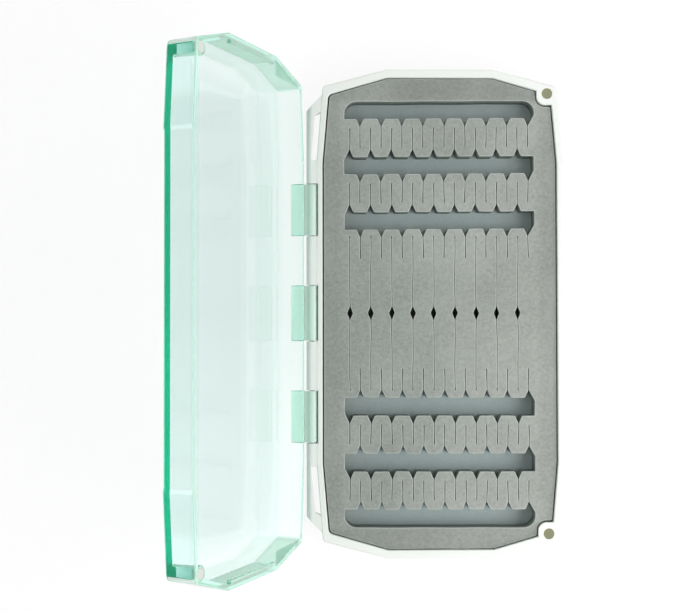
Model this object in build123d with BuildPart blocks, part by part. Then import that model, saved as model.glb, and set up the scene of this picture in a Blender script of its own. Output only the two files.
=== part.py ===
from build123d import *
import os
from math import cos, isclose, radians, sin

# A slim fly box: a white tray lined with slit foam, and a clear lid that swings on one steel pin
# and is held shut by a pair of disc magnets at each front corner.
# Frame: the tray's underside lies on XY with its centre at the origin, the hinge is on the -X side
# and the opening side faces +X. The lid is modelled shut and placed by one plane turned about the pin.

# ---- driving dimensions, in millimetres -------------------------------------------------------
box_length = 190.5
box_width = 96.4  # over the two long walls, without the hinge rail
end_flat = 41.4  # straight middle stretch of each end
end_drop = 6.6  # how far each end falls back from that stretch to the corner
side_straight = 119.4  # straight middle stretch of each long side
side_tuck = 2.3  # how far the corners stand in from that stretch
corner_radius = 2.0
bend_radius = 1.0  # at the shallow bends of the outline
thumb_depth = 0.55  # shallow thumb recess along the opening side
thumb_run = 1.3  # length of the recess's sloping ends
thumb_radius = 0.4

tray_height = 16.0
tray_end_wall = 3.2
tray_side_wall = 2.3
tray_floor = 2.0
tray_draft = 0.6  # how far the walls lean in from the rim to the underside
underside_chamfer = 1.6
rim_edge = 0.25  # broken edge round the rim

lid_depth = 11.5
lid_wall = 2.0
lid_panel = 2.3
lid_draft = 0.5
lid_edge = 0.9  # chamfer between the lid's walls and its panel
lid_rim_gap = 0.2  # daylight between the two rims when the box is shut
lid_open_angle = 111.0
plateau_width = 34.0  # raised field on the lid panel
plateau_length = 158.0
plateau_height = 0.3
plateau_slope = 6.5
plateau_centre_x = 6.0
landing_rib_length = 38.0  # rib inside each end of the lid that lands on the tray's thicker end wall
landing_rib_thickness = 1.2
landing_rib_height = 1.6

pin_diameter = 2.0
pin_length = 116.6
pin_running_clearance = 0.05  # radial, in the lid's knuckles
pin_seat_clearance = 0.01  # radial, in the tray's rail
barrel_diameter = 4.2
pin_out = 1.9  # pin axis out from the tray's long wall
pin_down = 2.2  # pin axis below the tray's rim
middle_knuckle_length = 21.4
outer_knuckle_length = 20.0
knuckle_pitch = 40.3
knuckle_side_gap = 0.3
knuckle_wall_gap = 0.35
strap_thickness = 1.0
strap_reach = 5.2  # how far each strap runs up the lid's wall from the rim
strap_root = 0.6  # how deep the strap is rooted in the drafted wall
heel_height = 1.5
heel_drop = 2.1  # lower edge of the heel below the pin axis, with the lid open
heel_gap = 0.15
recess_drop = 1.3  # how far each knuckle's recess in the tray runs below the barrel

rail_length = 158.0
slot_length = 19.4
slot_width = 2.1
slot_end_slant = 1.5

magnet_diameter = 4.1
magnet_thickness = 2.0
magnet_inset = 6.2  # magnet centre in from the long wall
magnet_end_inset = 9.3  # magnet centre in from the end wall
magnet_clearance = 0.05
magnet_sink = 0.1  # how far the magnet's face lies below the rim
boss_reach_x = 4.0  # from the magnet's centre to the boss's inner faces
boss_reach_y = 4.4
boss_radius = 3.3
lid_post_radius = 2.9

foam_side_clearance = 0.5
foam_end_clearance = 0.3
foam_boss_clearance = 0.6
foam_below_rim = 1.2
backing_thickness = 4.8
foam_side_strip = 8.6  # plain foam between each end of a groove and the long wall
foam_end_strip = 9.1  # plain foam between the outermost groove and the end wall
groove_width = 6.6
groove_rows = 3  # in each half of the box
first_groove = 36.1  # from the middle of the box to the first groove's centre line
groove_end_radius = 4.7
slit_count = 18
groove_end_margin = 2.0  # from the outermost slit to the end of the groove
slit_width = 0.36
slit_depth = 6.0
notch_width = 3.0
notch_depth = 3.1
tab_radius = 0.45
slit_shortfall = 0.3  # how far a slit stops short of the notches it runs towards
slit_overlap = 0.4  # how far a slit starts inside its own notch
middle_tab_end = 2.9  # foam left between the end of a middle slit and the first groove
middle_short_slit = 8.4
diamond_width = 2.1
diamond_length = 5.2
slit_end_diameter = 0.75

# ---- places that follow from them --------------------------------------------------------------
pin_x = -box_width / 2 - pin_out
pin_z = tray_height - pin_down
rail_root_x = -box_width / 2 + side_tuck + tray_side_wall / 2
lid_rim_z = tray_height + lid_rim_gap
lid_top_z = lid_rim_z + lid_depth
foam_top_z = tray_height - foam_below_rim
foam_seat_z = tray_floor + backing_thickness
recess_x = pin_x + barrel_diameter / 2 + knuckle_wall_gap
magnet_x = box_width / 2 - magnet_inset
magnet_y = box_length / 2 - magnet_end_inset
tray_sections = (
    (0, tray_draft + underside_chamfer),
    (underside_chamfer, tray_draft * (1 - underside_chamfer / tray_height)),
    (tray_height - rim_edge, tray_draft * rim_edge / tray_height),
    (tray_height, rim_edge),
)
lid_sections = (
    (lid_rim_z, rim_edge),
    (lid_rim_z + rim_edge, lid_draft * rim_edge / lid_depth),
    (lid_top_z - lid_edge, lid_draft * (1 - lid_edge / lid_depth)),
    (lid_top_z, lid_draft + lid_edge),
)
foam_half_width = box_width / 2 - tray_side_wall - foam_side_clearance
foam_half_length = box_length / 2 - tray_end_wall - foam_end_clearance
groove_length = 2 * (foam_half_width - foam_side_strip)
groove_pitch = (foam_half_length - foam_end_strip - groove_width / 2 - first_groove) / (groove_rows - 1)
knuckles = (
    (-knuckle_pitch, outer_knuckle_length),
    (0, middle_knuckle_length),
    (knuckle_pitch, outer_knuckle_length),
)
middle_slit_reach = first_groove - groove_width / 2 - middle_tab_end
slit_span = groove_length - 2 * groove_end_margin
slit_step = slit_span / (slit_count - 1)
slit_places = [-slit_span / 2 + slit_step * number for number in range(slit_count)]
inner_slits = slit_places[0::2]  # cut from the notches on the far side of each groove
outer_slits = slit_places[1::2]  # cut from the notches on its side towards the middle


def turned_about_pin(angle):
    """The XY plane after the closed lid's frame has turned about the pin by an opening angle."""
    across = Vector(cos(radians(angle)), 0, sin(radians(angle)))
    up = Vector(-sin(radians(angle)), 0, cos(radians(angle)))
    origin = Vector(pin_x, 0, pin_z) - across * pin_x - up * pin_z
    return Plane(origin=origin, x_dir=across, z_dir=up)


lid_plane = turned_about_pin(lid_open_angle)


def box_outline(inset_side, inset_end, thumb=True):
    """Plan outline of the box: flat ends, sloping corners, and a thumb recess along the +X side."""
    x, y = box_width / 2 - inset_side, box_length / 2 - inset_end
    side = side_straight / 2 - inset_end / 3
    quarter = [(end_flat / 2, y), (x - side_tuck, y - end_drop), (x, side)]
    radii = [bend_radius, corner_radius, bend_radius]
    right = quarter + [(px, -py) for px, py in reversed(quarter)]
    right_radii = radii + radii[::-1]
    left = [(-px, -py) for px, py in right]
    if thumb:
        in_x, in_y = x - thumb_depth, side - thumb_run
        right[3:3] = [(in_x, in_y), (in_x, -in_y)]
        right_radii = [*radii[:2], *[thumb_radius] * 4, *radii[1::-1]]
    with BuildSketch() as outline:
        with BuildLine():
            FilletPolyline(*right, *left, radius=[*right_radii, *radii, *radii[::-1]], close=True)
        make_face()
    return outline.sketch


def magnet_places():
    """Locations of the two front corners' magnets."""
    return Locations((magnet_x, -magnet_y), (magnet_x, magnet_y))


def corner_boss(margin=0):
    """Blocks in both front corners that hold a magnet each: inner corner rounded, rooted in the walls."""
    low_x = magnet_x - boss_reach_x - margin
    low_y = magnet_y - boss_reach_y - margin
    high_x, high_y = box_width / 2, box_length / 2
    with BuildSketch() as blocks:
        with BuildLine():
            corner = [(high_x, low_y), (low_x, low_y), (low_x, high_y)]
            inner = FilletPolyline(*corner, radius=boss_radius + margin)
            Polyline(inner @ 1, (high_x, high_y), inner @ 0)
        make_face()
        mirror(about=Plane.XZ)
        add(box_outline(tray_side_wall / 2, tray_end_wall / 2, thumb=False), mode=Mode.INTERSECT)
    return blocks.sketch


def rail_plan():
    """Hinge rail seen from above: bevelled ends, and a slot for a tether beside the wall at each end."""
    outer_x = pin_x - barrel_diameter / 2
    tuck_slope = side_tuck / ((box_length - side_straight) / 2 - end_drop)
    half = rail_length / 2
    near = side_straight / 2
    far = near + slot_length
    wall_near = -box_width / 2
    wall_far = wall_near + tuck_slope * slot_length
    with BuildSketch() as rail:
        with BuildLine():
            Polyline(
                (outer_x, 0),
                (outer_x, half),
                (rail_root_x, half + rail_root_x - outer_x),
                (rail_root_x, 0),
                close=True,
            )
        make_face()
        with BuildLine():
            Polyline(
                (wall_near - slot_width, near),
                (wall_far - slot_width, far - slot_end_slant),
                (wall_far + tray_side_wall / 2, far),
                (wall_near + tray_side_wall / 2, near),
                close=True,
            )
        make_face(mode=Mode.SUBTRACT)
        mirror(about=Plane.XZ)
    return rail.sketch


def across_pin(y, angle=0):
    """Plane square to the pin at height y, its X and Y along the lid's width and depth."""
    turned = turned_about_pin(angle)
    return Plane(origin=(pin_x, y, pin_z), x_dir=turned.x_dir, z_dir=(0, -1, 0))


def groove_centre(row):
    """Distance of a groove's centre line from the middle of the box."""
    return first_groove + row * groove_pitch


def groove_outline(row):
    """One groove of the upper half about its own centre: notched on both sides, plain on the outer side
    of the outermost row, where its ends are rounded."""
    end_x, half, notch = groove_length / 2, groove_width / 2, notch_width / 2
    lower = [(-end_x, -half)]
    for x in outer_slits:
        lower += [(x - notch, -half), (x, -half - notch_depth), (x + notch, -half)]
    end_rise = (end_x - lower[-1][0]) * notch_depth / notch
    lower[-1] = (end_x, -half + end_rise)
    outermost = row == groove_rows - 1
    upper = [(end_x, half), (-end_x, half)] if outermost else [(-px, -py) for px, py in lower]
    with BuildSketch() as groove:
        with BuildLine():
            Polyline(*lower, *upper, close=True)
        make_face()
        edge_points = groove.vertices().filter_by(lambda point: isclose(abs(point.Y), half))
        fillet(edge_points.filter_by(lambda point: abs(point.X) < end_x - tab_radius), tab_radius)
        if outermost:
            fillet(groove.vertices().group_by(Axis.Y)[-1], groove_end_radius)
    return groove.sketch


def grooves_and_diamonds():
    """All that is cut right through the foam: six notched grooves and the row of diamond holes."""
    with BuildSketch() as cuts:
        for row in range(groove_rows):
            with Locations((0, groove_centre(row))):
                add(groove_outline(row))
        mirror(about=Plane.XZ)
        with BuildLine():
            Polyline(
                (diamond_width / 2, 0),
                (0, diamond_length / 2),
                (-diamond_width / 2, 0),
                (0, -diamond_length / 2),
                close=True,
            )
        diamond = make_face(mode=Mode.PRIVATE)
        with Locations(*[(x, 0) for x in inner_slits]):
            add(diamond)
    return cuts.sketch


def slit_pattern():
    """Narrow cuts that part the foam into tabs: interleaved between grooves, long across the middle."""
    with BuildSketch() as cuts:
        for row in range(groove_rows - 1):
            low = groove_centre(row) + groove_width / 2 + notch_depth
            high = groove_centre(row + 1) - groove_width / 2 - notch_depth
            length = high - low - slit_shortfall + slit_overlap
            with Locations(*[(x, low - slit_overlap) for x in inner_slits]):
                Rectangle(slit_width, length, align=(Align.CENTER, Align.MIN))
            with Locations(*[(x, high + slit_overlap) for x in outer_slits]):
                Rectangle(slit_width, length, align=(Align.CENTER, Align.MAX))
        middle = first_groove - groove_width / 2 - notch_depth
        with Locations(*[(x, middle + slit_overlap) for x in outer_slits]):
            Rectangle(slit_width, middle_short_slit + slit_overlap, align=(Align.CENTER, Align.MAX))
        with Locations(*[(x, middle_slit_reach) for x in inner_slits]):
            Circle(slit_end_diameter / 2)
        mirror(about=Plane.XZ)
        with Locations(*[(x, 0) for x in inner_slits]):
            Rectangle(slit_width, 2 * middle_slit_reach)
    return cuts.sketch


def knuckle_strap():
    """Section of a lid knuckle in the lid's own directions: the barrel, and the strap up the lid's wall."""
    rim = lid_rim_z - pin_z
    top = rim + strap_reach
    with BuildSketch() as strap:
        Circle(barrel_diameter / 2)
        with BuildLine():
            Polyline(
                (pin_out - strap_thickness, 0),
                (pin_out, 0),
                (pin_out, rim),
                (pin_out + strap_root, rim + strap_root),
                (pin_out + strap_root, top),
                (pin_out, top),
                (pin_out - strap_thickness, top - strap_thickness),
                close=True,
            )
        make_face()
    return strap.sketch


def knuckle_heel():
    """Section of the heel that comes to rest against the tray's wall when the lid is fully open."""
    face_x = recess_x - pin_x - heel_gap
    with BuildSketch() as heel:
        with BuildLine():
            Polyline(
                (0, 0),
                (0, -barrel_diameter / 2),
                (face_x, -heel_drop),
                (face_x, heel_height - heel_drop),
                close=True,
            )
        make_face()
    return heel.sketch


# ---- tray ------------------------------------------------------------------------------------
with BuildPart() as hinge_rail:
    with BuildSketch(across_pin(0)):
        Circle(barrel_diameter / 2)
        Rectangle(rail_root_x - pin_x, barrel_diameter, align=(Align.MIN, Align.CENTER))
    extrude(amount=box_length / 2, both=True)
    with BuildSketch(Plane.XY.offset(pin_z - barrel_diameter)):
        add(rail_plan())
    extrude(amount=2 * barrel_diameter, mode=Mode.INTERSECT)

with BuildPart() as base_shell:
    for height, inset in tray_sections:
        with BuildSketch(Plane.XY.offset(height)):
            add(box_outline(inset, inset))
    loft(ruled=True)
    add(hinge_rail.part)
    for height, inset in ((tray_floor, 0), (tray_height - rim_edge, 0), (tray_height, -rim_edge)):
        with BuildSketch(Plane.XY.offset(height)):
            add(box_outline(tray_side_wall + inset, tray_end_wall + inset, thumb=False))
    loft(ruled=True, mode=Mode.SUBTRACT)
    with BuildSketch(Plane.XY.offset(tray_floor)):
        add(corner_boss())
    extrude(amount=tray_height - tray_floor)
    for knuckle_y, knuckle_length in knuckles:
        with BuildSketch(across_pin(knuckle_y)):
            with Locations((recess_x - pin_x, -barrel_diameter / 2 - recess_drop)):
                Rectangle(2 * barrel_diameter, 2 * barrel_diameter, align=(Align.MAX, Align.MIN))
        extrude(amount=knuckle_length / 2 + knuckle_side_gap, both=True, mode=Mode.SUBTRACT)
    with BuildSketch(across_pin(0)):
        Circle(pin_diameter / 2 + pin_seat_clearance)
    extrude(amount=side_straight / 2, both=True, mode=Mode.SUBTRACT)
    with magnet_places():
        with Locations((0, 0, tray_height)):
            Hole(magnet_diameter / 2 + magnet_clearance, magnet_thickness + magnet_sink)

# ---- foam ------------------------------------------------------------------------------------
def foam_outline():
    """Plan of both foam sheets: the tray's inside less a little play and the magnet bosses."""
    with BuildSketch() as sheet:
        inset_side, inset_end = tray_side_wall + foam_side_clearance, tray_end_wall + foam_end_clearance
        add(box_outline(inset_side, inset_end, thumb=False))
        add(corner_boss(foam_boss_clearance), mode=Mode.SUBTRACT)
    return sheet.sketch


with BuildPart() as foam_backing:
    with BuildSketch(Plane.XY.offset(tray_floor)):
        add(foam_outline())
    extrude(amount=backing_thickness)

with BuildPart() as slit_foam:
    with BuildSketch(Plane.XY.offset(foam_seat_z)):
        add(foam_outline())
        add(grooves_and_diamonds(), mode=Mode.SUBTRACT)
    extrude(amount=foam_top_z - foam_seat_z)
    with BuildSketch(Plane.XY.offset(foam_top_z)):
        add(slit_pattern())
    extrude(amount=-slit_depth, mode=Mode.SUBTRACT)

# ---- lid -------------------------------------------------------------------------------------
with BuildPart() as lid_shell:
    for height, inset in lid_sections:
        with BuildSketch(lid_plane.offset(height)):
            add(box_outline(inset, inset))
    loft(ruled=True)
    for height, inset in ((lid_rim_z, lid_wall), (lid_top_z - lid_panel, lid_wall + lid_draft)):
        with BuildSketch(lid_plane.offset(height)):
            add(box_outline(inset, inset, thumb=False))
    loft(ruled=True, mode=Mode.SUBTRACT)
    for rise, slope in ((0, plateau_slope), (plateau_height, 0)):
        with BuildSketch(lid_plane.offset(lid_top_z + rise)):
            with Locations((plateau_centre_x, 0)):
                Rectangle(plateau_width + 2 * slope, plateau_length + 2 * slope)
    loft(ruled=True)
    rib_y = box_length / 2 - lid_wall - landing_rib_thickness / 2
    with BuildSketch(lid_plane.offset(lid_rim_z)):
        with Locations((0, rib_y), (0, -rib_y)):
            RectangleRounded(landing_rib_length, landing_rib_thickness + rim_edge, rim_edge)
        with magnet_places():
            Circle(lid_post_radius)
    extrude(amount=landing_rib_height)
    with BuildSketch(lid_plane.offset(lid_rim_z)):
        with magnet_places():
            Circle(lid_post_radius)
    extrude(amount=lid_depth - lid_panel / 2)
    with BuildSketch(lid_plane.offset(lid_rim_z)):
        with magnet_places():
            Circle(magnet_diameter / 2 + magnet_clearance)
    extrude(amount=magnet_sink + magnet_thickness, mode=Mode.SUBTRACT)
    for knuckle_y, knuckle_length in knuckles:
        with BuildSketch(across_pin(knuckle_y, lid_open_angle)):
            add(knuckle_strap())
        with BuildSketch(across_pin(knuckle_y)):
            add(knuckle_heel())
        extrude(amount=knuckle_length / 2, both=True)
    with BuildSketch(across_pin(0)):
        Circle(pin_diameter / 2 + pin_running_clearance)
    extrude(amount=pin_length, both=True, mode=Mode.SUBTRACT)

# ---- pin and magnets -------------------------------------------------------------------------
with BuildPart() as hinge_pin:
    with BuildSketch(across_pin(0)):
        Circle(pin_diameter / 2)
    extrude(amount=pin_length / 2, both=True)
    chamfer(hinge_pin.edges(), pin_diameter / 10)


def disc_magnet(plane, y):
    """A disc magnet in its pocket, its face a hair below the rim that the plane lies on."""
    with BuildPart() as disc:
        with BuildSketch(plane.offset(-magnet_sink)):
            with Locations((magnet_x, y)):
                Circle(magnet_diameter / 2)
        extrude(amount=-magnet_thickness)
        chamfer(disc.edges(), magnet_clearance * 2)
    return disc


lid_rim_plane = lid_plane.offset(lid_rim_z)
lid_rim_outward = Plane(origin=lid_rim_plane.origin, x_dir=lid_rim_plane.x_dir, z_dir=-lid_rim_plane.z_dir)
tray_rim_plane = Plane.XY.offset(tray_height)

pieces = {
    "base_shell": base_shell,
    "foam_backing": foam_backing,
    "slit_foam": slit_foam,
    "hinge_pin": hinge_pin,
    "lid_shell": lid_shell,
    "base_magnet_left": disc_magnet(tray_rim_plane, -magnet_y),
    "base_magnet_right": disc_magnet(tray_rim_plane, magnet_y),
    "lid_magnet_left": disc_magnet(lid_rim_outward, magnet_y),
    "lid_magnet_right": disc_magnet(lid_rim_outward, -magnet_y),
}
os.makedirs("parts", exist_ok=True)
for name, piece in pieces.items():
    piece.part.label = name
    export_step(piece.part, f"parts/{name}.step")
    print(name, round(piece.part.volume, 1), piece.part.bounding_box())
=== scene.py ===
# %% [markdown]
# # A slim fly box, open on a white bench
#
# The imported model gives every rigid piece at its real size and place. This script adds what the eye
# expects of the real materials: tinted clear polycarbonate, white satin polycarbonate, die-cut foam
# with rolled edges, nickel-plated magnets and a steel pin. Everything is in metres, in the model's frame.

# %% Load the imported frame
import math

import bmesh
import bpy
import numpy as np
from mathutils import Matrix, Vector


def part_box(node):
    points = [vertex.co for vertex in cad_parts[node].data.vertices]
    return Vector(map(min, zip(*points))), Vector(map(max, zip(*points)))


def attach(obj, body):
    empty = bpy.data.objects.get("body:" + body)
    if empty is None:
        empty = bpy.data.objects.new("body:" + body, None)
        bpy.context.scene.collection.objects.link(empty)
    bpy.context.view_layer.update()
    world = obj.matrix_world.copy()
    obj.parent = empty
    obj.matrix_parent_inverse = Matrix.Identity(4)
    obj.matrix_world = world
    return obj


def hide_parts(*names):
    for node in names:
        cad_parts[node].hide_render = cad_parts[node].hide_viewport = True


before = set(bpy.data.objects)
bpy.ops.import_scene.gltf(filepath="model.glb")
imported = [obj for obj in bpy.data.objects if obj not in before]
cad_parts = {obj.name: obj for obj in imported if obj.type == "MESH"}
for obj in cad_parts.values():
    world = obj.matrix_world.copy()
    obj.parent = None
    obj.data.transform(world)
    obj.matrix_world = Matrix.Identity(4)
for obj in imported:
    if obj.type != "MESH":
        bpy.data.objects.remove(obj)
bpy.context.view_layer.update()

print("pieces in the frame:", sorted(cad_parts))

# %% [markdown]
# ## The camera
#
# The box lies flat and is seen from almost straight above, a little to the left of its middle, from about
# half a metre. So near a camera makes the standing lid lean outwards, which a long lens would not do. The
# tilt is given in degrees and turned to radians at once, and the place in millimetres.

# %% Place the camera
MM = 0.001
camera_place = np.array([-45.7, -8.0, 531.2]) * MM
camera_tilt = np.radians([1.22, -1.16, -0.09])
camera_lens = 68.1  # focal length for the usual sensor, 36 mm wide

camera_data = bpy.data.cameras.new("bench_camera")
camera_data.lens = camera_lens
camera = bpy.data.objects.new("bench_camera", camera_data)
camera.location = camera_place
camera.rotation_euler = camera_tilt
bpy.context.scene.collection.objects.link(camera)
bpy.context.scene.camera = camera
print("camera height over the bench, mm:", camera_place[2] / MM)

# %% [markdown]
# ## Helpers for materials
#
# Colours are written as sRGB hex values, as in any paint program, but shaders work in linear light, so one
# function turns them. A second one adds a node with its settings and its links in one call, and a third
# starts a material off.


# %% Colour and node helpers
def linear(hex_colour):
    """sRGB hex to linear light: c / 12.92 below 0.04045, and ((c + 0.055) / 1.055) ** 2.4 above it."""
    srgb = np.array([int(hex_colour[i : i + 2], 16) for i in (0, 2, 4)]) / 255
    light = np.where(srgb <= 0.04045, srgb / 12.92, ((srgb + 0.055) / 1.055) ** 2.4)
    return (*light.tolist(), 1.0)


def add_node(tree, kind, inputs, **settings):
    """One node: settings are its own properties, inputs are plain values or other nodes' outputs."""
    node = tree.nodes.new(kind)
    for name, value in settings.items():
        setattr(node, name, value)
    for name, value in inputs.items():
        if isinstance(value, bpy.types.NodeSocket):
            tree.links.new(value, node.inputs[name])
        else:
            node.inputs[name].default_value = value
    return node


def empty_material(name):
    """A material with an output node and nothing else."""
    material = bpy.data.materials.new(name)
    material.use_nodes = True
    material.node_tree.nodes.clear()
    return material, material.node_tree, add_node(material.node_tree, "ShaderNodeOutputMaterial", {})


print("white in linear light:", linear("FFFFFF"))

# %% [markdown]
# ## The plan of the slit foam
#
# The foam is a sheet cut by a steel-rule die: six grooves with notched edges, and slits between them that
# part it into tabs that grip a hook. A grid of squares could only draw such narrow slits as stairs. So
# each cut is a closed line, kept as an array of points, with the foam always on its left: the outer edge
# runs anticlockwise, and every hole clockwise.

# %% Sizes of the cuts, in millimetres
foam_low, foam_high = (np.array(corner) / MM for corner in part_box("slit_foam"))
foam_half_width, foam_half_length = foam_high[0], foam_high[1]
groove_rows = 3
# Each half: how far its first groove lies from the middle, the step to the next, and half a groove's width.
upper_half = {"first": 36.25, "pitch": 21.7, "half_width": 3.35}
lower_half = {"first": 36.5, "pitch": 21.75, "half_width": 3.48}  # stamped a little longer than the other
groove_end = 36.95  # half the length of a groove, along X
cut_shift = -0.4  # the whole pattern sits a little off the sheet's middle, towards the hinge
right_spare = 0.45  # but its grooves run on a little at the other side
upper_slope = 0.008  # each half is stamped a little out of square: its rise per millimetre of X
lower_slope = -0.003
groove_end_radius = 4.7
groove_end_margin = 2.0
slit_count = 18
slit_width = 0.16
slit_tip_width = 0.3  # a slit gapes towards its tip, where the tab on each side bends away
notch_width = 2.9
notch_depth = 3.1
slit_shortfall = 0.3  # a slit stops this far before the next groove
middle_short_slit = 8.4
middle_slit_reach = 29.9  # from the middle to the end of a slit across it
diamond_width = 2.3
diamond_length = 5.4
slit_end_diameter = 0.6  # the round hole at each end of a slit across the middle

slit_places = np.linspace(-1, 1, slit_count) * (groove_end - groove_end_margin)
inner_slits, outer_slits = slit_places[0::2], slit_places[1::2]
slit_half = slit_width / 2
tip_half = slit_tip_width / 2
notch_half = notch_width / 2
print("from a slit of one row to the next one of the other, mm:", np.diff(slit_places)[0].round(3))


# %% Arcs at the corners
arc_points = 10


def rounded(points, radii):
    """A polygon whose corners are arcs: each arc starts one tangent length, radius times the tangent of
    half the turn, before its corner, and its start is turned about the arc's centre by growing shares of
    the turn."""
    points, radii = np.asarray(points, float), np.asarray(radii, float)
    ahead = np.roll(points, -1, axis=0) - points
    ahead /= np.linalg.norm(ahead, axis=1, keepdims=True)
    behind = np.roll(ahead, 1, axis=0)
    cross = behind[:, 0] * ahead[:, 1] - behind[:, 1] * ahead[:, 0]
    turn = np.arctan2(cross, (behind * ahead).sum(1))
    start = points - behind * (radii * np.tan(np.abs(turn) / 2))[:, None]
    side = np.stack([-behind[:, 1], behind[:, 0]], 1) * (np.sign(turn) * radii)[:, None]
    angle = turn[:, None] * np.linspace(0, 1, arc_points)
    spoke_x = -side[:, :1] * np.cos(angle) + side[:, 1:] * np.sin(angle)
    spoke_y = -side[:, :1] * np.sin(angle) - side[:, 1:] * np.cos(angle)
    centre = start + side
    return np.stack([centre[:, :1] + spoke_x, centre[:, 1:] + spoke_y], -1).reshape(-1, 2)


print("points on the arc at a corner:", arc_points)


# %% Notches with slits
def fingers(places, mouth, inward, tip):
    """Notches and the slits that run on from them: for each place, six points from one lip of the notch
    down to the slit's tip and back to the other lip. Inward is +1 or -1, the slits' way along Y."""
    across = np.array([-notch_half, -slit_half, -tip_half, tip_half, slit_half, notch_half])
    throat = mouth + inward * notch_depth * (1 - slit_half / notch_half)
    along = np.array([mouth, throat, tip, tip, throat, mouth])
    return np.stack(np.broadcast_arrays(places[:, None] + across, along), -1).reshape(-1, 2)


print("points on a notched edge:", len(fingers(outer_slits, 0.0, -1, -notch_depth)))


# %% One groove
def groove_loop(half, row):
    """One groove of a half: its upper edge from left to right, then its lower edge back. The last notch of
    each edge runs on into the groove's end. The outermost groove is plain above, with round ends."""
    centre = half["first"] + half["pitch"] * row
    top, bottom = centre + half["half_width"], centre - half["half_width"]
    land = half["pitch"] - 2 * half["half_width"]  # foam between two grooves
    reach = land - notch_depth - slit_shortfall
    right = groove_end + right_spare
    end_rise = (groove_end - outer_slits[-1] - notch_half) * notch_depth / notch_half
    lower_tip = bottom - (notch_depth + middle_short_slit if row == 0 else reach)
    lower = fingers(outer_slits, bottom, -1, lower_tip)
    lower[-1] = (right, bottom + end_rise)
    if row == groove_rows - 1:
        corners = [(-groove_end, bottom), (-groove_end, top), (right, top), (right, bottom)]
        arcs = rounded(corners, [0, groove_end_radius, groove_end_radius, 0])
        upper = arcs[arc_points : 3 * arc_points]
    else:
        upper = fingers(inner_slits, top, 1, top + reach)
        upper[0] = (-groove_end, top - end_rise)
        upper = np.vstack([upper, (right, top)])
    return np.vstack([upper, lower[::-1], (-groove_end, bottom)])


print("points round each groove:", [len(groove_loop(upper_half, row)) for row in range(groove_rows)])

# %% [markdown]
# The nine long slits across the middle have a diamond hole half way and a small round hole at each end,
# where the die's rules are joined. The outer edge follows the tray and steps round the two magnet bosses.

# %% A slit across the middle
hole_points = 12


def middle_loop(place):
    """A closed line that runs clockwise: the arc of the upper round hole, the right half of the diamond,
    and both again turned half round. The slit is what lies between them."""
    radius = slit_end_diameter / 2
    opening = math.asin(slit_half / radius) - math.pi / 2
    angle = np.linspace(math.pi - opening, opening, hole_points)
    top = np.stack([radius * np.cos(angle), middle_slit_reach + radius * np.sin(angle)], 1)
    shoulder = diamond_length / 2 * (1 - slit_half / (diamond_width / 2))
    right = np.array([(slit_half, shoulder), (diamond_width / 2, 0), (slit_half, -shoulder)])
    return np.vstack([top, right, -top, -right]) + (place, 0)


print("points round a slit across the middle:", len(middle_loop(0.0)))

# %% The outer edge, in millimetres
boss_margin = 0.6  # the gap between a boss and the foam
boss_reach = np.array([4.0, 4.4]) + boss_margin  # from the magnet's centre to the foam, along X and Y
boss_radius = 3.3 + boss_margin
lip_radius = 0.6
end_flat_half = 20.7  # half the straight part of an end
end_drop = 6.6  # how far an end falls back from there to the corner
side_tuck = 2.3  # how far a side does
side_straight_half = 58.5
corner_radius = 2.0
bend_radius = 1.0


def outer_loop():
    """Anticlockwise from the middle of the right side. Where a boss stands, the corner is cut square and
    rounded, between the points where the boss meets the sloping side and the sloping end."""
    magnet_low, magnet_high = (np.array(corner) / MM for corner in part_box("base_magnet_right"))
    boss_x, boss_y = ((magnet_low + magnet_high) / 2)[:2] - boss_reach
    corner = np.array([foam_half_width - side_tuck, foam_half_length - end_drop])
    side_x = np.interp(boss_y, [side_straight_half, corner[1]], [foam_half_width, corner[0]])
    end_y = np.interp(boss_x, [end_flat_half, corner[0]], [foam_half_length, corner[1]])
    right = [(foam_half_width, side_straight_half), (side_x, boss_y), (boss_x, boss_y), (boss_x, end_y)]
    right_radii = [bend_radius, lip_radius, boss_radius, lip_radius]
    left = [(-corner[0], corner[1]), (-foam_half_width, side_straight_half)]
    upper = [*right, (end_flat_half, foam_half_length), (-end_flat_half, foam_half_length), *left]
    upper_radii = [*right_radii, bend_radius, bend_radius, corner_radius, bend_radius]
    lower = [(x, -y) for x, y in reversed(upper)]
    return rounded([*upper, *lower], [*upper_radii, *reversed(upper_radii)])


print("points on the outer edge:", len(outer_loop()))


# %% All the cuts together
def mirrored(loop):
    """The same cut in the lower half: Y changes sign, and the order is reversed, which keeps the foam on
    its left."""
    return (loop * (1, -1))[::-1]


upper_grooves = [groove_loop(upper_half, row) for row in range(groove_rows)]
lower_grooves = [mirrored(groove_loop(lower_half, row)) for row in range(groove_rows)]
grooves = [
    *(loop + loop[:, :1] * (0, upper_slope) for loop in upper_grooves),
    *(loop + loop[:, :1] * (0, lower_slope) for loop in lower_grooves),
]
pattern = [*grooves, *map(middle_loop, inner_slits)]
foam_cuts = [outer_loop(), *(loop + (cut_shift, 0) for loop in pattern)]
print("closed cuts in the foam:", len(foam_cuts))

# %% [markdown]
# ## Soft lines
#
# Foam never keeps a die's crisp corners, and the slits in it wander a little. Each line is first
# resampled evenly, then blurred along its own length, which rounds the corners and leaves straight runs
# where they are, and pushed about by slow waves. Last it is thinned, so that points are spent on bends
# and not on straights.


# %% Resample and soften
def evenly(loop, spacing):
    """Points at equal steps along the closed line, read off against the distance run so far."""
    closed = np.vstack([loop, loop[:1]])
    run = np.concatenate([[0], np.cumsum(np.linalg.norm(np.diff(closed, axis=0), axis=1))])
    steps = np.arange(0, run[-1], run[-1] / round(run[-1] / spacing))
    return np.stack([np.interp(steps, run, closed[:, axis]) for axis in (0, 1)], 1)


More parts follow.
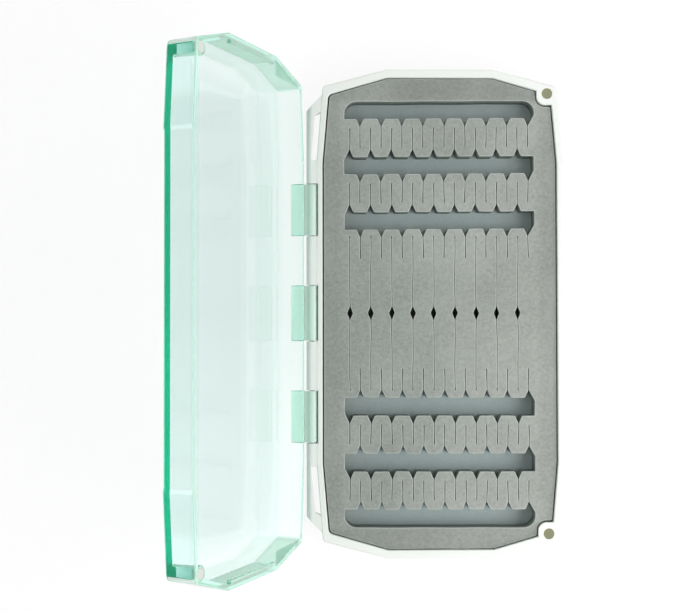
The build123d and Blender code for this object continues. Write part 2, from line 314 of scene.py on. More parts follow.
def softened(loop, spacing, blur):
    """A Gaussian blur along the line: its Fourier terms times exp(-(2 pi f blur) ** 2 / 2)."""
    frequency = np.fft.fftfreq(len(loop), spacing)
    fade = np.exp(-((2 * np.pi * frequency * blur) ** 2) / 2)
    return np.fft.ifft(np.fft.fft(loop, axis=0) * fade[:, None], axis=0).real


line_spacing = 0.08
corner_blur = 0.25
print("points on the outer edge, evenly spaced:", len(evenly(foam_cuts[0], line_spacing)))


# %% Stray
def strayed(loop, amount):
    """Each point moves by slow sine waves of its own X and Y, so that both lips of a slit move alike. Each
    divisor sets a wave's length in millimetres. The sideways waves fade out over the last notch, which
    keeps the grooves' ends straight."""
    x, y = loop.T
    sideways = np.sin(y / 5.3 + 2.9 * np.sin(x / 6.1)) + 0.6 * np.sin(y / 2.7 - 1.7 * np.cos(x / 4.3))
    lengthways = np.sin(x / 3.7 + y / 9.0) * 0.5
    fade = np.clip((groove_end + notch_half - np.abs(x)) / notch_half, 0, 1)
    return loop + amount * np.stack([sideways * fade, lengthways * fade], 1)


stray_amount = 0.1
print("scale of the straying, mm:", stray_amount)


# %% Turn inwards and thin out
def left_normals(loop):
    """Unit normals on the line's left, where the material is: the chord across each point, a quarter
    turn on."""
    chord = np.roll(loop, -1, axis=0) - np.roll(loop, 1, axis=0)
    normal = np.stack([-chord[:, 1], chord[:, 0]], 1)
    return normal / np.linalg.norm(normal, axis=1, keepdims=True)


def thinned(loop, extra, longest, turn):
    """Fewer points: progress along the line counts its length over the longest step and its bending over
    the largest turn, and a point is kept at each whole step of that progress. The extra columns go with
    it."""
    ahead = np.roll(loop, -1, axis=0) - loop
    length = np.linalg.norm(ahead, axis=1)
    heading = np.arctan2(ahead[:, 1], ahead[:, 0])
    bend = np.abs((np.diff(heading, append=heading[0]) + np.pi) % (2 * np.pi) - np.pi)
    progress = np.concatenate([[0], np.cumsum(length / longest + bend / turn)])
    steps = np.linspace(0, progress[-1], math.ceil(progress[-1]), endpoint=False)
    table = np.hstack([loop, extra])
    closed = np.vstack([table, table[:1]])
    return np.stack([np.interp(steps, progress, column) for column in closed.T], 1)


longest_step = 1.2
largest_turn = math.radians(15)
print("longest step on a line, mm:", longest_step)


# %% All four steps
def soft_line(loop):
    """All four steps in their order. Columns: X, Y and the way into the foam. That way is blurred too,
    which shortens it at tight corners, so a line moved along it never folds over itself there."""
    line = strayed(softened(evenly(loop, line_spacing), line_spacing, corner_blur), stray_amount)
    inward = softened(left_normals(line), line_spacing, corner_blur)
    return thinned(line, inward, longest_step, largest_turn)


foam_lines = [soft_line(loop) for loop in foam_cuts]
print("points on the foam's lines:", sum(map(len, foam_lines)))

# %% [markdown]
# ## From lines to a sheet
#
# The same profile is carried along every line: straight up from the underside, then a quarter round over
# the top edge. The top and the underside are then filled between the lines by a constrained Delaunay
# triangulation, which is Blender's own and copes with holes. Extruding a flat curve would be quicker, but
# gives no control over the edge and no way to paint it: its rolled edge gets a painted highlight, paler
# than the foam's skin, and the wall below it a painted shade.


# %% Carry a profile along a line
def wall(line, insets, heights):
    """Points shaped (rings, points, 3): the line moved into the foam by each ring's inset, at the
    ring's height."""
    rings = line[:, :2] + insets[:, None, None] * line[:, 2:]
    lifted = np.broadcast_to(heights[:, None, None], (*rings.shape[:2], 1))
    return np.concatenate([rings, lifted], -1)


def wall_faces(first, rings, count):
    """Quads between each ring and the next, closed round the line, facing away from the material."""
    ring, place = np.meshgrid(np.arange(rings - 1), np.arange(count), indexing="ij")
    here, beside = first + ring * count + place, first + ring * count + (place + 1) % count
    return np.stack([here, beside, beside + count, here + count], -1).reshape(-1, 4)


print("quads between two rings of four points:", wall_faces(0, 2, 4).tolist())

# %% Fill between the lines
from mathutils.geometry import delaunay_2d_cdt

INSIDE_CONSTRAINTS = 1
same_point = 1e-7  # millimetres


def filled(rings, numbers):
    """Triangles of the area between flat closed rings. Numbers are the rings' vertex numbers in the mesh.
    The filler wants each ring as an anticlockwise face, so the holes are handed over turned round, and
    the triangles wanted are those that lie in the first face and in no other."""
    flat = np.vstack(rings)[:, :2]
    ends = np.cumsum([len(ring) for ring in rings])
    loops = [list(range(end - len(ring), end)) for ring, end in zip(rings, ends)]
    loops[1:] = [loop[::-1] for loop in loops[1:]]
    result = delaunay_2d_cdt(flat.tolist(), [], loops, INSIDE_CONSTRAINTS, same_point, True)
    triangles, sources, owners = result[2], result[3], result[5]
    kept = np.array([face for face, owner in zip(triangles, owners) if owner == [0]])
    return np.concatenate(numbers)[np.array([source[0] for source in sources])[kept]]


trial_square = np.array([(0, 0), (1, 0), (1, 1), (0, 1)], float)
print("triangles that fill a square:", filled([trial_square], [np.arange(4)]).tolist())

# %% Build a stamped sheet
foam_edge_radius = 0.18  # millimetres, as is the next
foam_lip = 0.22
round_rings = 5
# Painted highlight: its share where the rolled edge starts, just above the wall.
first_painted_highlight = 0.2  # just above the wall


def stamped_sheet(name, lines, bottom, top):
    """A sheet between two heights with its top edges rolled: angle a of the quarter round is inset by
    radius * (1 - cos a) and lies radius * (1 - sin a) below the top. One more ring, the lip, lies flat on
    the top. An attribute of painted light and shade is 0 at the foot, -1 at the head of the wall, rises to
    1 up the
    round and is 0 again past the lip: below 0 a face takes painted shade, darkest at the head of the wall,
    and above 0 a painted highlight on the rolled edge."""
    angle = np.linspace(0, math.pi / 2, round_rings)
    insets = np.concatenate([[0], foam_edge_radius * (1 - np.cos(angle)), [foam_edge_radius + foam_lip]])
    heights = np.concatenate([[bottom], top - foam_edge_radius * (1 - np.sin(angle)), [top]])
    painted_edge_values = np.concatenate([[0, -1], np.linspace(first_painted_highlight, 1, round_rings - 1), [0]])
    walls = [wall(line, insets, heights) for line in lines]
    counts = np.array([line.shape[0] for line in lines])
    firsts = np.concatenate([[0], np.cumsum(counts * len(insets))[:-1]])
    quads = np.vstack([wall_faces(a, len(insets), n) for a, n in zip(firsts, counts)])
    bottoms = [a + np.arange(n) for a, n in zip(firsts, counts)]
    tops = [numbers + n * (len(insets) - 1) for numbers, n in zip(bottoms, counts)]
    top_faces = filled([w[-1] for w in walls], tops)
    bottom_faces = filled([w[0] for w in walls], bottoms)[:, ::-1]
    points = np.vstack([w.reshape(-1, 3) for w in walls]) * MM
    mesh = bpy.data.meshes.new(name)
    mesh.from_pydata(points.tolist(), [], [*quads.tolist(), *top_faces.tolist(), *bottom_faces.tolist()])
    smooth = np.arange(len(mesh.polygons)) < len(quads) + len(top_faces)
    mesh.polygons.foreach_set("use_smooth", smooth)
    edge_shading = mesh.attributes.new("painted_edge_shading", "FLOAT", "POINT")
    values = np.concatenate([np.repeat(painted_edge_values, n) for n in counts])
    edge_shading.data.foreach_set("value", values.astype(np.float32))
    sheet = bpy.data.objects.new(name, mesh)
    bpy.context.scene.collection.objects.link(sheet)
    print(name, "vertices:", len(points), "faces:", len(mesh.polygons))
    return sheet


# %% The slit foam
foam_sheet = stamped_sheet("slit_foam_sheet", foam_lines, foam_low[2], foam_high[2])
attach(foam_sheet, "base")
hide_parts("slit_foam")

# %% [markdown]
# The grooves are cut right through to a second sheet, a bluer one, that is glued under the first. It has
# the same outer edge and no cuts, so it is built by the same function from the first line alone.

# %% The backing sheet
backing_low, backing_high = (np.array(corner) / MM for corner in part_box("foam_backing"))
backing_sheet = stamped_sheet("backing_foam_sheet", foam_lines[:1], backing_low[2], backing_high[2])
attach(backing_sheet, "base")
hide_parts("foam_backing")

# %% [markdown]
# ## Moulded edges
#
# The model's tray and lid are exact, but their edges are sharp, and no mould gives a sharp edge: even
# 0.2 mm of rounding is what catches the light. So each is copied, its loose triangles are merged into one
# skin, and every edge that turns by more than 30 degrees is rounded. Wide faces are shaded flat,
# because clear plastic shows the least false bend in a face, and only the narrow ones are shaded smooth.
# A Bevel modifier would round the edges too, but this way the faces can be marked afterwards.


# %% How wide a face is
def face_widths(mesh):
    """Each face's area over its longest side, which is small for the strips that make up a round."""
    corner_edges = np.empty(len(mesh.loops), np.int32)
    mesh.loops.foreach_get("edge_index", corner_edges)
    ends = np.empty(len(mesh.edges) * 2, np.int32)
    mesh.edges.foreach_get("vertices", ends)
    points = np.empty(len(mesh.vertices) * 3, np.float32)
    mesh.vertices.foreach_get("co", points)
    starts = np.empty(len(mesh.polygons), np.int32)
    mesh.polygons.foreach_get("loop_start", starts)
    areas = np.empty(len(mesh.polygons), np.float32)
    mesh.polygons.foreach_get("area", areas)
    one, other = points.reshape(-1, 3)[ends.reshape(-1, 2)].transpose(1, 0, 2)
    lengths = np.linalg.norm(one - other, axis=1)
    return areas / np.maximum.reduceat(lengths[corner_edges], starts)


model_widths = face_widths(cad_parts["lid_shell"].data)
print("middle width of the lid's faces in the model, mm:", round(float(np.median(model_widths)) / MM, 2))

# %% Copy a moulding and round its edges
edge_rounding = 0.2 * MM
merging_distance = 0.002 * MM
flat_turn = math.radians(0.3)  # faces that turn less than this are one flat face
hard_turn = math.radians(30)
narrow_face = 1.2 * MM


def moulded(node, name):
    """A copy of a model's node as one skin, with each hard edge rounded in three flat steps."""
    skin = bmesh.new()
    skin.from_mesh(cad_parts[node].data)
    bmesh.ops.remove_doubles(skin, verts=skin.verts, dist=merging_distance)
    bmesh.ops.dissolve_limit(skin, angle_limit=flat_turn, verts=skin.verts, edges=skin.edges)
    hard = [edge for edge in skin.edges if edge.calc_face_angle(0) > hard_turn]
    bmesh.ops.bevel(
        skin,
        geom=hard,
        offset=edge_rounding,
        segments=3,
        profile=0.5,
        affect="EDGES",
        clamp_overlap=False,
    )
    mesh = bpy.data.meshes.new(name)
    skin.to_mesh(mesh)
    skin.free()
    mesh.polygons.foreach_set("use_smooth", face_widths(mesh) < narrow_face)
    piece = bpy.data.objects.new(name, mesh)
    bpy.context.scene.collection.objects.link(piece)
    print(name, "hard edges:", len(hard), "faces:", len(mesh.polygons))
    return piece


# %% The tray and the lid
tray = moulded("base_shell", "white_tray")
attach(tray, "base")
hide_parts("base_shell")

lid = moulded("lid_shell", "clear_lid")
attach(lid, "lid")
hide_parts("lid_shell")

# %% [markdown]
# ## Where the lid is less clear
#
# A clear moulding isn't clear everywhere. Its end walls and its rim catch light that has run inside the
# plastic and give it back as mint, and the straps of its knuckles look a deeper, darker mint. That light
# and that shade are painted on as a mint tint. The barrels round the pin and the bosses of the magnets,
# shaped by small steel inserts, are cloudy. So two numbers from 0 to 1, a painted tint and a haze, are
# written on the lid's faces. A painted mask would need an unwrapped surface, while these numbers follow
# from each face's place in the lid's
# own directions: U up the side from the pin, W from rim to panel.

# %% Where the parts of the lid lie, in millimetres
lid_angle = math.radians(111)  # how far the lid stands open in the model's rest pose
pin_low, pin_high = (np.array(corner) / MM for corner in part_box("hinge_pin"))
pin_middle = (pin_low + pin_high) / 2
lid_magnets = [(np.array(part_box(f"lid_magnet_{side}")) / MM).mean(0) for side in ("left", "right")]
knuckle_pitch = 40.3
knuckle_half = 10.9
barrel_radius = 3.0  # round the pin
strap_face = 1.4  # straps have a smaller U than this
rim_depth = 6.0  # knuckles have a smaller U than this, and end walls fade from this W on
fading_end = 14.0
boss_extent = 6.0  # from the magnet's middle
rim_run = (4.0, 3.0)  # the W from which the rim begins to show, and at which it is all there
end_rim_run = (7.0, 6.0)
end_wall_start = 60.0  # both are distances along Y from the middle
end_rim_start = 75.0
turned_to_end = (0.6, 0.9)  # shares of a face's normal that lie along Y
print("middle of the pin, mm:", pin_middle.round(2))


# %% Sort the lid's faces into its parts
def ramp(value, start, end):
    """0 at the start, 1 at the end and straight between them."""
    return np.clip((value - start) / (end - start), 0, 1)


def face_vectors(mesh, kind):
    """One vector for each face, which is its "center" or its "normal"."""
    flat = np.empty(len(mesh.polygons) * 3, np.float32)
    mesh.polygons.foreach_get(kind, flat)
    return flat.reshape(-1, 3)


def lid_parts(mesh):
    """How far each face belongs to each part, from 0 to 1, and its W. With the lid open by angle a,
    U = x cos a + z sin a and W = z cos a - x sin a, where x and z are measured from the pin."""
    places = face_vectors(mesh, "center") / MM
    x, y, z = (places - pin_middle).T
    u = x * math.cos(lid_angle) + z * math.sin(lid_angle)
    w = z * math.cos(lid_angle) - x * math.sin(lid_angle)
    nearest = np.round(np.clip(y / knuckle_pitch, -1, 1)) * knuckle_pitch
    knuckle = (np.abs(y - nearest) < knuckle_half) & (u < rim_depth)
    barrel = knuckle * (np.hypot(u, w) < barrel_radius)
    to_magnets = [np.linalg.norm(places - magnet, axis=1) for magnet in lid_magnets]
    facing = ramp(np.abs(face_vectors(mesh, "normal")[:, 1]), *turned_to_end)
    parts = {
        "end wall": facing * (np.abs(y) > end_wall_start),
        "strap": knuckle * (u < strap_face) * (1 - barrel),
        "barrel": barrel,
        "boss": np.min(to_magnets, 0) < boss_extent,
        "rim": ramp(w, *rim_run) * (1 - knuckle),
        "end rim": ramp(w, *end_rim_run) * (np.abs(y) > end_rim_start),
    }
    return parts, w


lid_shares = lid_parts(lid.data)[0]
print("faces of the lid:", {part: int((share > 0).sum()) for part, share in lid_shares.items()})

# %% Mark the lid's faces
# The tints are painted light and shade: mint where light run inside the plastic comes out, deeper on the
# straps.
part_painted_tint = {"end wall": 0.36, "strap": 0.75, "barrel": 0.35, "boss": 0.05, "rim": 0.3, "end rim": 0.55}
part_haze = {"end wall": 0.12, "strap": 0.1, "barrel": 0.85, "boss": 0.7, "rim": 0.4, "end rim": 0.5}
end_wall_fading = 0.5  # the tint an end wall has lost where it meets the panel


def mark_faces(piece):
    """Each face takes the strongest painted tint and the strongest haze among the parts it belongs to."""
    parts, w = lid_parts(piece.data)
    haze = np.max([share * part_haze[part] for part, share in parts.items()], 0)
    parts["end wall"] = parts["end wall"] * (1 - end_wall_fading * ramp(w, rim_depth, fading_end))
    tint = np.max([share * part_painted_tint[part] for part, share in parts.items()], 0)
    for name, values in (("lid_painted_tint", tint), ("lid_haze", haze)):
        mark = piece.data.attributes.new(name, "FLOAT", "FACE")
        mark.data.foreach_set("value", values.astype(np.float32))
    print(piece.name, "faces tinted:", int((tint > 0).sum()), "hazy:", int((haze > 0).sum()))


mark_faces(lid)

# %% [markdown]
# ## Clear mint polycarbonate
#
# The lid is moulded from clear polycarbonate with a little green dye, in a polished mould, so it is smooth
# and glassy. The dye is a volume: the further light goes through the plastic, the greener it gets, which a
# tinted surface could not show. It takes out far more red than green or blue. On the faces marked with the
# painted tint the surface is mint as well, a painted glow for light that has run inside the plastic and a
# deeper painted mint on the straps, and where they are marked with a haze, some light is scattered and not
# let through. The refractive index is set under polycarbonate's 1.585, which calms the mirroring on the
# wide, flat panel.

# %% Material of the lid
lid_roughness = 0.08
lid_index = 1.45
dye_density = 65.0  # per metre of plastic

lid_material, tree, output = empty_material("clear_mint_polycarbonate")
# The painted tint turns the surface mint where it stands for light run inside the plastic and for shade.
tint = add_node(tree, "ShaderNodeAttribute", {}, attribute_name="lid_painted_tint")
haze = add_node(tree, "ShaderNodeAttribute", {}, attribute_name="lid_haze")
painted_mint = add_node(
    tree,
    "ShaderNodeMix",
    {"Factor": tint.outputs["Fac"], "A": linear("FEFFFE"), "B": linear("8CE2BC")},
    data_type="RGBA",
)
clearness = add_node(tree, "ShaderNodeMath", {0: 1.0, 1: haze.outputs["Fac"]}, operation="SUBTRACT")
clear_surface = add_node(
    tree,
    "ShaderNodeBsdfPrincipled",
    {
        "Base Color": painted_mint.outputs["Result"],
        "Roughness": lid_roughness,
        "IOR": lid_index,
        "Transmission Weight": clearness.outputs["Value"],
    },
)
dye = add_node(tree, "ShaderNodeVolumeAbsorption", {"Color": linear("5DF3E7"), "Density": dye_density})
tree.links.new(clear_surface.outputs["BSDF"], output.inputs["Surface"])
tree.links.new(dye.outputs["Volume"], output.inputs["Volume"])
lid.data.materials.append(lid_material)
print(lid.name, "is", lid_material.name)

# %% [markdown]
# ## White satin polycarbonate
#
# The tray is the same plastic filled with white, from a mould whose steel was blasted to a fine satin. It
# is nearly even in colour and gives a broad, soft gloss. A faint cloudiness, 25 mm wide like the flow marks
# of a moulding, and a fine grain keep it from looking like paint. The grain of such a mould is finer than
# 0.1 mm and is drawn coarser here, at 0.35 mm, so that it can be seen at all.

# %% Material of the tray
tray_cloud = 25 * MM
tray_grain = 0.35 * MM
tray_grain_height = 0.03 * MM
tray_roughness = 0.4
tray_index = 1.585  # polycarbonate's refractive index

tray_material, tree, output = empty_material("white_satin_polycarbonate")
place = add_node(tree, "ShaderNodeTexCoord", {})
cloud = add_node(
    tree,
    "ShaderNodeTexNoise",
    {"Vector": place.outputs["Object"], "Scale": 1 / tray_cloud, "Detail": 2.0},
)
white = add_node(
    tree,
    "ShaderNodeMix",
    {"Factor": cloud.outputs["Fac"], "A": linear("EDF1EC"), "B": linear("F2F4F0")},
    data_type="RGBA",
)
grain = add_node(
    tree,
    "ShaderNodeTexNoise",
    {"Vector": place.outputs["Object"], "Scale": 1 / tray_grain, "Detail": 2.0},
)
relief = add_node(
    tree,
    "ShaderNodeBump",
    {"Height": grain.outputs["Fac"], "Strength": 0.08, "Distance": tray_grain_height},
)
satin = add_node(
    tree,
    "ShaderNodeBsdfPrincipled",
    {
        "Base Color": white.outputs["Result"],
        "Roughness": tray_roughness,
        "IOR": tray_index,
        "Normal": relief.outputs["Normal"],
    },
)
tree.links.new(satin.outputs["BSDF"], output.inputs["Surface"])
tray.data.materials.append(tray_material)
print(tray.name, "is", tray_material.name)

# %% [markdown]
# ## Closed-cell foam
#
# Slit foam is EVA, blown into closed cells and split into sheets: matt and grey, with a speckle of bubbles.
# Real bubbles are about 0.3 mm wide, too fine to show here, so the noise that stands for them is 1.1 mm
# wide. The rolled edges get a painted highlight, the cut walls a painted shade that is darkest at their
# head, and a painted shade darkens the sheet outside the stamped field, towards the tray's walls and ends.
# An image of foam laid over it would repeat, and noise never does.

# %% Painted shade round the border of a foam sheet
stamped_half_width = 37.0  # millimetres, as are the next two
stamped_half_length = 81.0
painted_shade_run = 4.0  # from the edge of the stamped field to the full shade
# Painted shade: how dark the sheet is painted beyond its sides and beyond its ends, near the tray's walls.
side_painted_shade = 0.09
end_painted_shade = 0.17


def painted_border_shade(tree, place):
    """Painted shade: 0 over the stamped field. Past its edges it rises smoothly to the side's or the end's
    shade, darker towards the tray's walls and ends, and where the two meet the darker one counts."""
    where = add_node(tree, "ShaderNodeSeparateXYZ", {"Vector": place.outputs["Object"]})
    shades = []
    borders = (("X", stamped_half_width, side_painted_shade), ("Y", stamped_half_length, end_painted_shade))
    for axis, field, shade in borders:
        off = add_node(tree, "ShaderNodeMath", {0: where.outputs[axis]}, operation="ABSOLUTE")
        full = field + painted_shade_run
        painted_border = add_node(
            tree,
            "ShaderNodeMapRange",
            {"Value": off.outputs["Value"], "From Min": field * MM, "From Max": full * MM, "To Max": shade},
            interpolation_type="SMOOTHSTEP",
        )
        shades.append(painted_border.outputs["Result"])
    darker = add_node(tree, "ShaderNodeMath", {0: shades[0], 1: shades[1]}, operation="MAXIMUM")
    return darker.outputs["Value"]


print("stamped field, mm:", 2 * stamped_half_width, "by", 2 * stamped_half_length)

# %% Skin of the foam
bubble_size = 1.1 * MM
drift_size = 30 * MM


def foam_skin(tree, place, bubbles, dark, light):
    """The mean of the bubbles and of a slow drift picks a grey between the dark and the light one, and
    the painted shade of the border takes it towards black."""
    drift = add_node(
        tree,
        "ShaderNodeTexNoise",
        {"Vector": place.outputs["Object"], "Scale": 1 / drift_size, "Detail": 1.0},
    )
    spread = add_node(
        tree,
        "ShaderNodeMapRange",
        {"Value": bubbles.outputs["Fac"], "From Min": 0.25, "From Max": 0.75},
    )
    mixed = add_node(
        tree,
        "ShaderNodeMath",
        {0: spread.outputs["Result"], 1: drift.outputs["Fac"]},
        operation="ADD",
    )
    halved = add_node(tree, "ShaderNodeMath", {0: mixed.outputs["Value"], 1: 0.5}, operation="MULTIPLY")
    skin = add_node(
        tree,
        "ShaderNodeMix",
        {"Factor": halved.outputs["Value"], "A": linear(dark), "B": linear(light)},
        data_type="RGBA",
    )
    return add_node(
        tree,
        "ShaderNodeMix",
        {"Factor": painted_border_shade(tree, place), "A": skin.outputs["Result"], "B": linear("000000")},
        data_type="RGBA",
    )


print("bubbles, mm:", bubble_size / MM, "drift, mm:", drift_size / MM)

# %% Matt foam, cut and rolled
# Painted highlight on the rolled edges: the share of the edge's colour where it is strongest.
painted_highlight_strength = 0.6  # how much of the edge's own colour shows where it is palest
bubble_height = 0.14 * MM
foam_roughness = 0.85


def foam_material(name, dark, light, edge, painted_wall_shade):
    """Matt foam. The sheet's edge attribute above 0 brings in a painted highlight in the edge's colour, and
    below 0 a painted shade in the wall's.
    """
    material, tree, output = empty_material(name)
    place = add_node(tree, "ShaderNodeTexCoord", {})
    bubbles = add_node(
        tree,
        "ShaderNodeTexNoise",
        {"Vector": place.outputs["Object"], "Scale": 1 / bubble_size, "Detail": 4.0, "Roughness": 0.75},
    )
    skin = foam_skin(tree, place, bubbles, dark, light)
    # The edge attribute carries painted light: a highlight up the rolled edge, and shade down the cut wall.
    edge_shading = add_node(tree, "ShaderNodeAttribute", {}, attribute_name="painted_edge_shading")
    paler = add_node(
        tree,
        "ShaderNodeMath",
        {0: edge_shading.outputs["Fac"], 1: painted_highlight_strength},
        operation="MULTIPLY",
    )
    pale = add_node(
        tree,
        "ShaderNodeMix",
        {"Factor": paler.outputs["Value"], "A": skin.outputs["Result"], "B": linear(edge)},
        data_type="RGBA",
    )
    inside = add_node(tree, "ShaderNodeMath", {0: edge_shading.outputs["Fac"], 1: -1.0}, operation="MULTIPLY")
    colour = add_node(
        tree,
        "ShaderNodeMix",
        {"Factor": inside.outputs["Value"], "A": pale.outputs["Result"], "B": linear(painted_wall_shade)},
        data_type="RGBA",
    )
    relief = add_node(
        tree,
        "ShaderNodeBump",
        {"Height": bubbles.outputs["Fac"], "Strength": 0.9, "Distance": bubble_height},
    )
    surface = add_node(
        tree,
        "ShaderNodeBsdfPrincipled",
        {
            "Base Color": colour.outputs["Result"],
            "Roughness": foam_roughness,
            "Normal": relief.outputs["Normal"],
        },
    )
    tree.links.new(surface.outputs["BSDF"], output.inputs["Surface"])
    return material


print("relief of the bubbles, mm:", bubble_height / MM)

# %% The two foams
# In each foam the last two colours are painted: a highlight for the rolled edges and a shade for the cut
# walls.
# Slit foam: mid grey EVA, split from a blown block. It gives the eye a dull, even speckle.
grey_foam = foam_material("grey_eva_foam", "757A74", "B9BDB7", "CACFC9", "868E8A")
# Backing foam: the same kind of sheet in a paler, bluish grey. It is all that shows down in the grooves.
slate_foam = foam_material("slate_eva_foam", "A8B7B6", "BECBCA", "B2C0C0", "A8B7B6")
foam_sheet.data.materials.append(grey_foam)
backing_sheet.data.materials.append(slate_foam)
print("foams:", grey_foam.name, "and", slate_foam.name)

# %% [markdown]
# ## Small metal parts
#
# The magnets are sintered discs under nickel plate, and the pin is drawn steel wire. They are so small
# that their shapes stay as the model gives them, and only their materials are new: a metal whose colour
# drifts a little between two tints, in patches of 1.5 to 2 mm, because no plated or drawn metal is quite
# even.


# %% Metal in two tints
def metal_material(name, dark, light, roughness, patch):
    """Metal whose colour drifts between two tints over patches of that size in millimetres."""
    material, tree, output = empty_material(name)
    place = add_node(tree, "ShaderNodeTexCoord", {})
    patches = add_node(
        tree,
        "ShaderNodeTexNoise",
        {"Vector": place.outputs["Object"], "Scale": 1 / (patch * MM), "Detail": 2.0},
    )
    tint = add_node(
        tree,
        "ShaderNodeMix",
        {"Factor": patches.outputs["Fac"], "A": linear(dark), "B": linear(light)},
        data_type="RGBA",
    )
    surface = add_node(
        tree,
        "ShaderNodeBsdfPrincipled",
        {"Base Color": tint.outputs["Result"], "Metallic": 1.0, "Roughness": roughness},
    )
    tree.links.new(surface.outputs["BSDF"], output.inputs["Surface"])
    return material


smooth_shine = 0.35  # roughness
drawn_shine = 0.4
print("roughness of nickel and of wire:", smooth_shine, drawn_shine)

# %% Nickel and steel
# Tumbled nickel plate, rubbed dull in a drum: a soft, slightly yellow shine. It is on the tray's magnets.
nickel = metal_material("tumbled_nickel_plate", "E6E8B6", "F4F6D0", smooth_shine, 1.5)
# Bright nickel plate, straight from the bath: whiter. It is on the lid's magnets.
bright_nickel = metal_material("bright_nickel_plate", "DFE0D8", "ECEDE6", smooth_shine, 1.5)
# Steel wire, pulled through a die: pale grey, with a softer shine than the nickel's.
steel = metal_material("drawn_steel_wire", "D4DAD6", "E0E6E2", drawn_shine, 2.0)


def dress(node, material):
    """Puts the material in every slot of a node of the model."""
    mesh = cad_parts[node].data
    mesh.materials.clear()
    mesh.materials.append(material)
    print(node, "is", material.name)


for side in ("left", "right"):
    dress(f"base_magnet_{side}", nickel)
    dress(f"lid_magnet_{side}", bright_nickel)
dress("hinge_pin", steel)

# %% [markdown]
# ## The bench
#
# The box lies on a white bench that is lit so strongly that it is almost a plain white. One way is a plain
# chalk surface under much light, but that would burn out the box as well. So the bench is chalk mixed with
# a white glow. What the camera, mirrors and clear plastic see of it is mostly glow, which keeps a breath of
# the box's shadow, and the rays that carry light to the box get a more even share of both. Seen through the
# lid the glow is a little warm and has painted light in it: it is brighter than white, and more so towards
# the front, where most of the light falls.


# %% Rays that see the bench
least_glow = 0.43  # share of glow for the rays that carry light
extra_glow = 0.4  # what is added to it for the rays that see the bench


def seen_directly(tree):
    """1 for camera, mirror and clear plastic rays, and 0 for the rays that carry light."""
    path = add_node(tree, "ShaderNodeLightPath", {})
    mirror = add_node(
        tree,
        "ShaderNodeMath",
        {0: path.outputs["Is Camera Ray"], 1: path.outputs["Is Glossy Ray"]},
        operation="MAXIMUM",
    )
    return add_node(
        tree,
        "ShaderNodeMath",
        {0: mirror.outputs["Value"], 1: path.outputs["Is Transmission Ray"]},
        operation="MAXIMUM",
    ).outputs["Value"]


print("share of glow for light and for sight:", least_glow, round(least_glow + extra_glow, 2))

# %% Glow of the bench
# Painted light: seen through the lid the glow is made brighter towards the front, as if more light fell
# there.
back_spare = 0.04  # how much brighter than white the bench is through the lid, behind the box's middle
front_spare = 0.17  # how much brighter it is in front of the next line
front_line = -60 * MM  # a place along Y

bench_material, tree, output = empty_material("white_bench")
through = add_node(tree, "ShaderNodeLightPath", {})
ground = add_node(tree, "ShaderNodeTexCoord", {})
along = add_node(tree, "ShaderNodeSeparateXYZ", {"Vector": ground.outputs["Object"]})
spare = add_node(
    tree,
    "ShaderNodeMapRange",
    {
        "Value": along.outputs["Y"],
        "From Min": 0.0,
        "From Max": front_line,
        "To Min": back_spare,
        "To Max": front_spare,
    },
)
brightness = add_node(
    tree,
    "ShaderNodeMath",
    {0: through.outputs["Is Transmission Ray"], 1: spare.outputs["Result"], 2: 1.0},
    operation="MULTIPLY_ADD",
)
bench_white = add_node(
    tree,
    "ShaderNodeMix",
    {"Factor": through.outputs["Is Transmission Ray"], "A": linear("FFFFFF"), "B": linear("FFF9F9")},
    data_type="RGBA",
)
bench_glow = add_node(
    tree,
    "ShaderNodeEmission",
    {"Color": bench_white.outputs["Result"], "Strength": brightness.outputs["Value"]},
)
print("glow through the lid, at the back and at the front:", 1 + back_spare, 1 + front_spare)

# %% Chalk and glow together
chalk = add_node(tree, "ShaderNodeBsdfDiffuse", {"Color": linear("FFFFFF")})
flatness = add_node(
    tree,
    "ShaderNodeMath",
    {0: seen_directly(tree), 1: extra_glow, 2: least_glow},
    operation="MULTIPLY_ADD",
)
both = add_node(
    tree,
    "ShaderNodeMixShader",
    {0: flatness.outputs["Value"], 1: chalk.outputs["BSDF"], 2: bench_glow.outputs["Emission"]},
)
tree.links.new(both.outputs["Shader"], output.inputs["Surface"])
print("nodes in the bench's material:", len(tree.nodes))

# %% Lay the bench
bench_half = 4.0
bench_mesh = bpy.data.meshes.new("bench")
corners = np.array([(-1, -1, 0), (1, -1, 0), (1, 1, 0), (-1, 1, 0)]) * bench_half
bench_mesh.from_pydata(corners.tolist(), [], [(0, 1, 2, 3)])
bench_mesh.materials.append(bench_material)
bench = bpy.data.objects.new("bench", bench_mesh)
bpy.context.scene.collection.objects.link(bench)
print("bench, metres wide:", 2 * bench_half)

# %% [markdown]
# ## A tent of light
#
# White cloth all round the bench gives the soft light: a little from everywhere, and much more from high up
# on the two long sides, so that the walls of the grooves across the box stay grey. Three kinds of ray see
# three different tents. The rays that carry light get those two bright sides. Mirroring surfaces see an
# even white that darkens overhead, where the camera is. The camera and clear plastic see plain white.

# %% The tent that gives light
tent_least = 0.3
tent_most = 1.4  # added to the least, high up on the two sides
side_run = (0.3, 0.65)  # shares of a direction's length that lie along X, where the sides come in
height_run = (0.15, 0.45)  # shares of it that point up

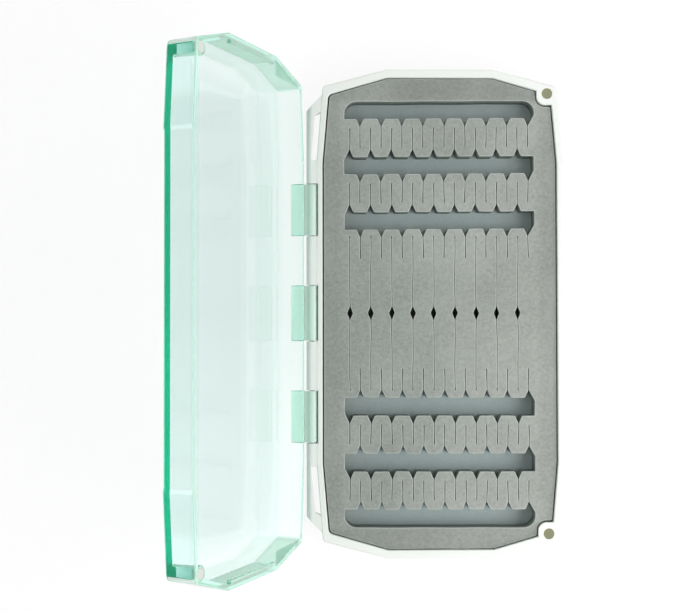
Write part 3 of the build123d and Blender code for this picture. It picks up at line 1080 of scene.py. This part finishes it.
air = bpy.data.worlds.new("light_tent")
bpy.context.scene.world = air
air.use_nodes = True
air.node_tree.nodes.clear()
tree = air.node_tree
looking = add_node(tree, "ShaderNodeTexCoord", {})
height = add_node(tree, "ShaderNodeSeparateXYZ", {"Vector": looking.outputs["Generated"]})
sideways = add_node(tree, "ShaderNodeMath", {0: height.outputs["X"]}, operation="ABSOLUTE")
sides = add_node(
    tree,
    "ShaderNodeMapRange",
    {"Value": sideways.outputs["Value"], "From Min": side_run[0], "From Max": side_run[1]},
)
above = add_node(
    tree,
    "ShaderNodeMapRange",
    {
        "Value": height.outputs["Z"],
        "From Min": height_run[0],
        "From Max": height_run[1],
        "To Max": tent_most,
    },
)
tent = add_node(
    tree,
    "ShaderNodeMath",
    {0: sides.outputs["Result"], 1: above.outputs["Result"], 2: tent_least},
    operation="MULTIPLY_ADD",
)
print("light from high up on the two sides:", tent_least + tent_most)

# %% What each ray sees of the tent
overhead_run = (0.3, 0.7)
overhead_white = 0.3  # what a mirror sees straight above, where 1 is white
plain_white = 1.15

path = add_node(tree, "ShaderNodeLightPath", {})
overhead = add_node(
    tree,
    "ShaderNodeMapRange",
    {
        "Value": height.outputs["Z"],
        "From Min": overhead_run[0],
        "From Max": overhead_run[1],
        "To Min": 1.0,
        "To Max": overhead_white,
    },
)
in_mirrors = add_node(
    tree,
    "ShaderNodeMix",
    {"Factor": path.outputs["Is Glossy Ray"], "A": tent.outputs["Value"], "B": overhead.outputs["Result"]},
    data_type="FLOAT",
)
straight = add_node(
    tree,
    "ShaderNodeMath",
    {0: path.outputs["Is Camera Ray"], 1: path.outputs["Is Transmission Ray"]},
    operation="MAXIMUM",
)
strength = add_node(
    tree,
    "ShaderNodeMix",
    {"Factor": straight.outputs["Value"], "A": in_mirrors.outputs["Result"], "B": plain_white},
    data_type="FLOAT",
)
sky = add_node(
    tree,
    "ShaderNodeBackground",
    {"Color": linear("FFFFFF"), "Strength": strength.outputs["Result"]},
)
air_output = add_node(tree, "ShaderNodeOutputWorld", {})
tree.links.new(sky.outputs["Background"], air_output.inputs["Surface"])
print("nodes in the tent's shader:", len(tree.nodes))

# %% [markdown]
# ## One soft box
#
# A square lamp behind white cloth stands to the right and a little in front. It gives the standing lid and
# the walls of the tray one lighter side. A bare bulb would do that too, but with hard shadows in every
# slit. It is left out of reflections, where it would show as a bright square.

# %% The lamp
lamp_size = 0.45
lamp_watts = 1.95
lamp_place = (0.38, -0.19, 0.38)
lamp_turn = (math.radians(24), math.radians(43), 0)

lamp_data = bpy.data.lights.new("soft_box", "AREA")
lamp_data.shape = "SQUARE"
lamp_data.size = lamp_size
lamp_data.energy = lamp_watts
lamp = bpy.data.objects.new("soft_box", lamp_data)
lamp.location = lamp_place
lamp.rotation_euler = lamp_turn
lamp.visible_glossy = False
bpy.context.scene.collection.objects.link(lamp)
print("lamp from the middle of the bench, metres:", round(math.hypot(*lamp_place), 2))

# %% [markdown]
# ## How the render is counted
#
# Colours go straight to the screen's own range, with no film curve, so that white stays white. A ray may
# cross many faces of clear plastic before it gets out of the lid, so it is allowed 32 turns. With fewer,
# the thick corners of the lid would go dark.

# %% Colours and turns of a ray
ray_turns = 32

scene = bpy.context.scene
scene.view_settings.view_transform = "Standard"
scene.cycles.max_bounces = ray_turns
scene.cycles.glossy_bounces = ray_turns
scene.cycles.transmission_bounces = ray_turns
print("turns a ray may take:", ray_turns)
